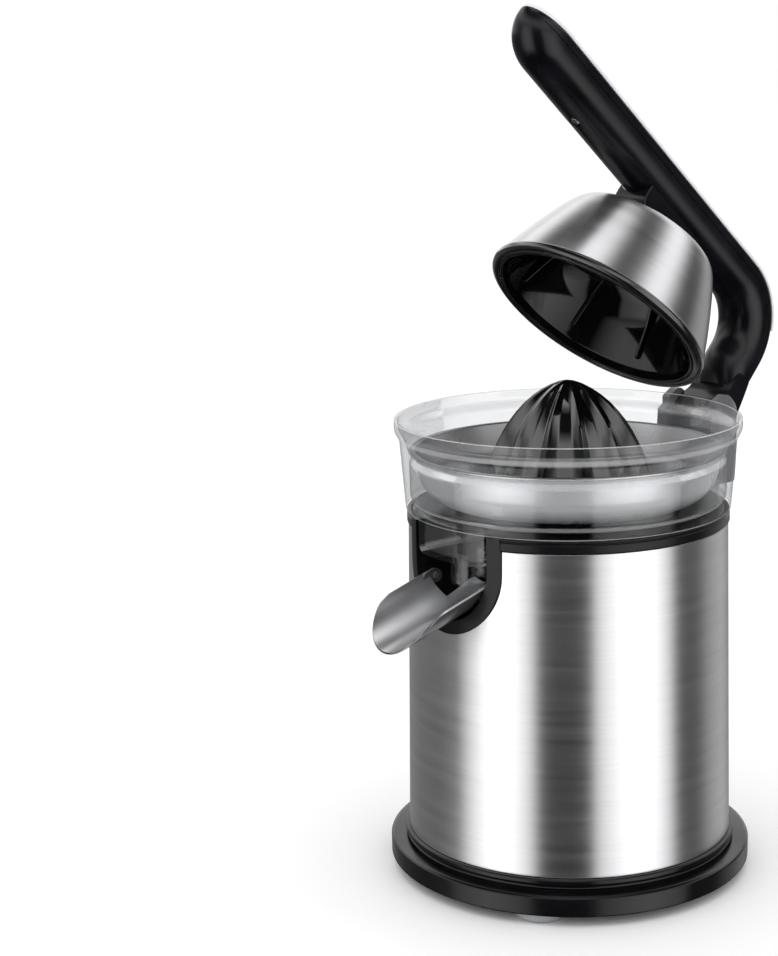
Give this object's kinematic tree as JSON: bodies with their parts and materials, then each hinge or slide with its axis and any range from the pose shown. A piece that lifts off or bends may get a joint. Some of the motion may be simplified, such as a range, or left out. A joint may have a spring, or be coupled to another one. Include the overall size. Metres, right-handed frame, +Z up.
{
  "type": "citrus press juicer",
  "caption": "Upright electric citrus press: steel motor housing, clear juice collector, ribbed reamer, fold-up spout and a hinged lever arm with a press cup.",
  "frame": {"origin": "middle of the footprint with the arm open, on the table; the housing axis is 10.9 mm towards the spout from it", "axes": "+Z up along the housing axis, -Y towards the spout, +Y towards the arm hinge"},
  "size_m": [0.184, 0.253, 0.4318],
  "materials": {
    "steel": "brushed round the axis",
    "black": "satin moulded plastic",
    "gloss": "polished black plastic",
    "clear": "clear moulded plastic",
    "silver": "satin anodised",
    "foot_rubber": "soft grey rubber",
    "seal_rubber": "black rubber",
    "bronze": "sintered bronze",
    "nylon": "natural nylon",
    "zinc": "zinc plated",
    "core": "laminated iron"
  },
  "bodies": {
    "housing": {"body_sleeve": "steel", "strainer": "steel", "motor_upper_bearing": "steel", "motor_lower_bearing": "steel", "base_ring": "black", "bottom_cover": "black", "trim_ring": "black", "deck": "black", "hinge_tower": "black", "microswitch": "black", "collector": "clear", "foot_front_right": "foot_rubber", "foot_front_left": "foot_rubber", "foot_rear_right": "foot_rubber", "foot_rear_left": "foot_rubber", "cord_gland": "seal_rubber", "shaft_seal": "seal_rubber", "shaft_bush": "bronze", "gear_lower_bush": "bronze", "gear_upper_bush": "bronze", "terminal_block": "nylon", "tower_backplate": "zinc", "tower_screw_left": "zinc", "tower_screw_right": "zinc", "hinge_pin": "zinc", "spout_pivot_left": "zinc", "spout_pivot_right": "zinc", "gear_plate": "zinc", "gear_post_front_left": "zinc", "gear_post_front_right": "zinc", "gear_post_rear": "zinc", "idler_pin": "zinc", "spring_housing": "zinc", "return_spring": "zinc", "motor_upper_bracket": "zinc", "motor_lower_bracket": "zinc", "motor_screw_left": "zinc", "motor_screw_right": "zinc", "motor_stator": "core"},
    "arm": {"arm_shell": "black", "arm_cover": "black", "arm_cover_screw": "zinc", "arm_top_plate": "silver", "hinge_bush": "bronze", "cup_bracket": "black", "cup_shell": "steel", "cup_ring": "gloss", "cup_liner": "gloss", "cup_screw": "zinc"},
    "spout": {"spout": "steel"},
    "thrust": {"thrust_cup": "nylon"},
    "plunger": {"switch_plunger": "nylon"},
    "shaft": {"drive_shaft": "zinc", "drive_hub": "nylon"},
    "reamer": {"reamer": "gloss"},
    "output_gear": {"output_gear": "nylon"},
    "idler_gear": {"idler_gear": "nylon"},
    "rotor": {"motor_rotor": "core", "motor_pinion": "zinc", "motor_fan": "nylon"}
  },
  "joints": [
    {"name": "arm_hinge", "type": "hinge", "parent": "housing", "child": "arm", "pos_m": [0, 0.0871, 0.2195], "axis": [-1, 0, 0], "range_deg": [-41.7, 18]},
    {"name": "spout_fold", "type": "hinge", "parent": "housing", "child": "spout", "pos_m": [0, -0.0804, 0.1585], "axis": [-1, 0, 0], "range_deg": [0, 35]},
    {"name": "start_press", "type": "slide", "parent": "housing", "child": "thrust", "axis": [0, 0, -1], "range_m": [0, 0.0025], "stiffness_N_per_m": 1500, "springref_m": -0.006, "deforming": ["return_spring"]},
    {"name": "switch_press", "type": "slide", "parent": "housing", "child": "plunger", "axis": [0, 0, -1], "range_m": [0, 0.0025]},
    {"name": "shaft_spin", "type": "hinge", "parent": "thrust", "child": "shaft", "pos_m": [0, -0.0109, 0.18], "axis": [0, 0, 1], "continuous": true},
    {"name": "reamer_lift", "type": "slide", "parent": "shaft", "child": "reamer", "axis": [0, 0, 1], "range_m": [0, 0.04]},
    {"name": "output_gear_spin", "type": "hinge", "parent": "housing", "child": "output_gear", "pos_m": [0, -0.0109, 0.163], "axis": [0, 0, 1], "continuous": true},
    {"name": "idler_spin", "type": "hinge", "parent": "housing", "child": "idler_gear", "pos_m": [0.02022, 0.02068, 0.16], "axis": [0, 0, 1], "continuous": true},
    {"name": "motor_spin", "type": "hinge", "parent": "housing", "child": "rotor", "pos_m": [0, 0.0336, 0.11], "axis": [0, 0, 1], "continuous": true}
  ],
  "couplings": [
    {"joint": "switch_press", "follows": "start_press", "ratio": 1},
    {"joint": "idler_spin", "follows": "motor_spin", "ratio": -0.25},
    {"joint": "output_gear_spin", "follows": "motor_spin", "ratio": 0.0625},
    {"joint": "shaft_spin", "follows": "motor_spin", "ratio": 0.0625}
  ]
}
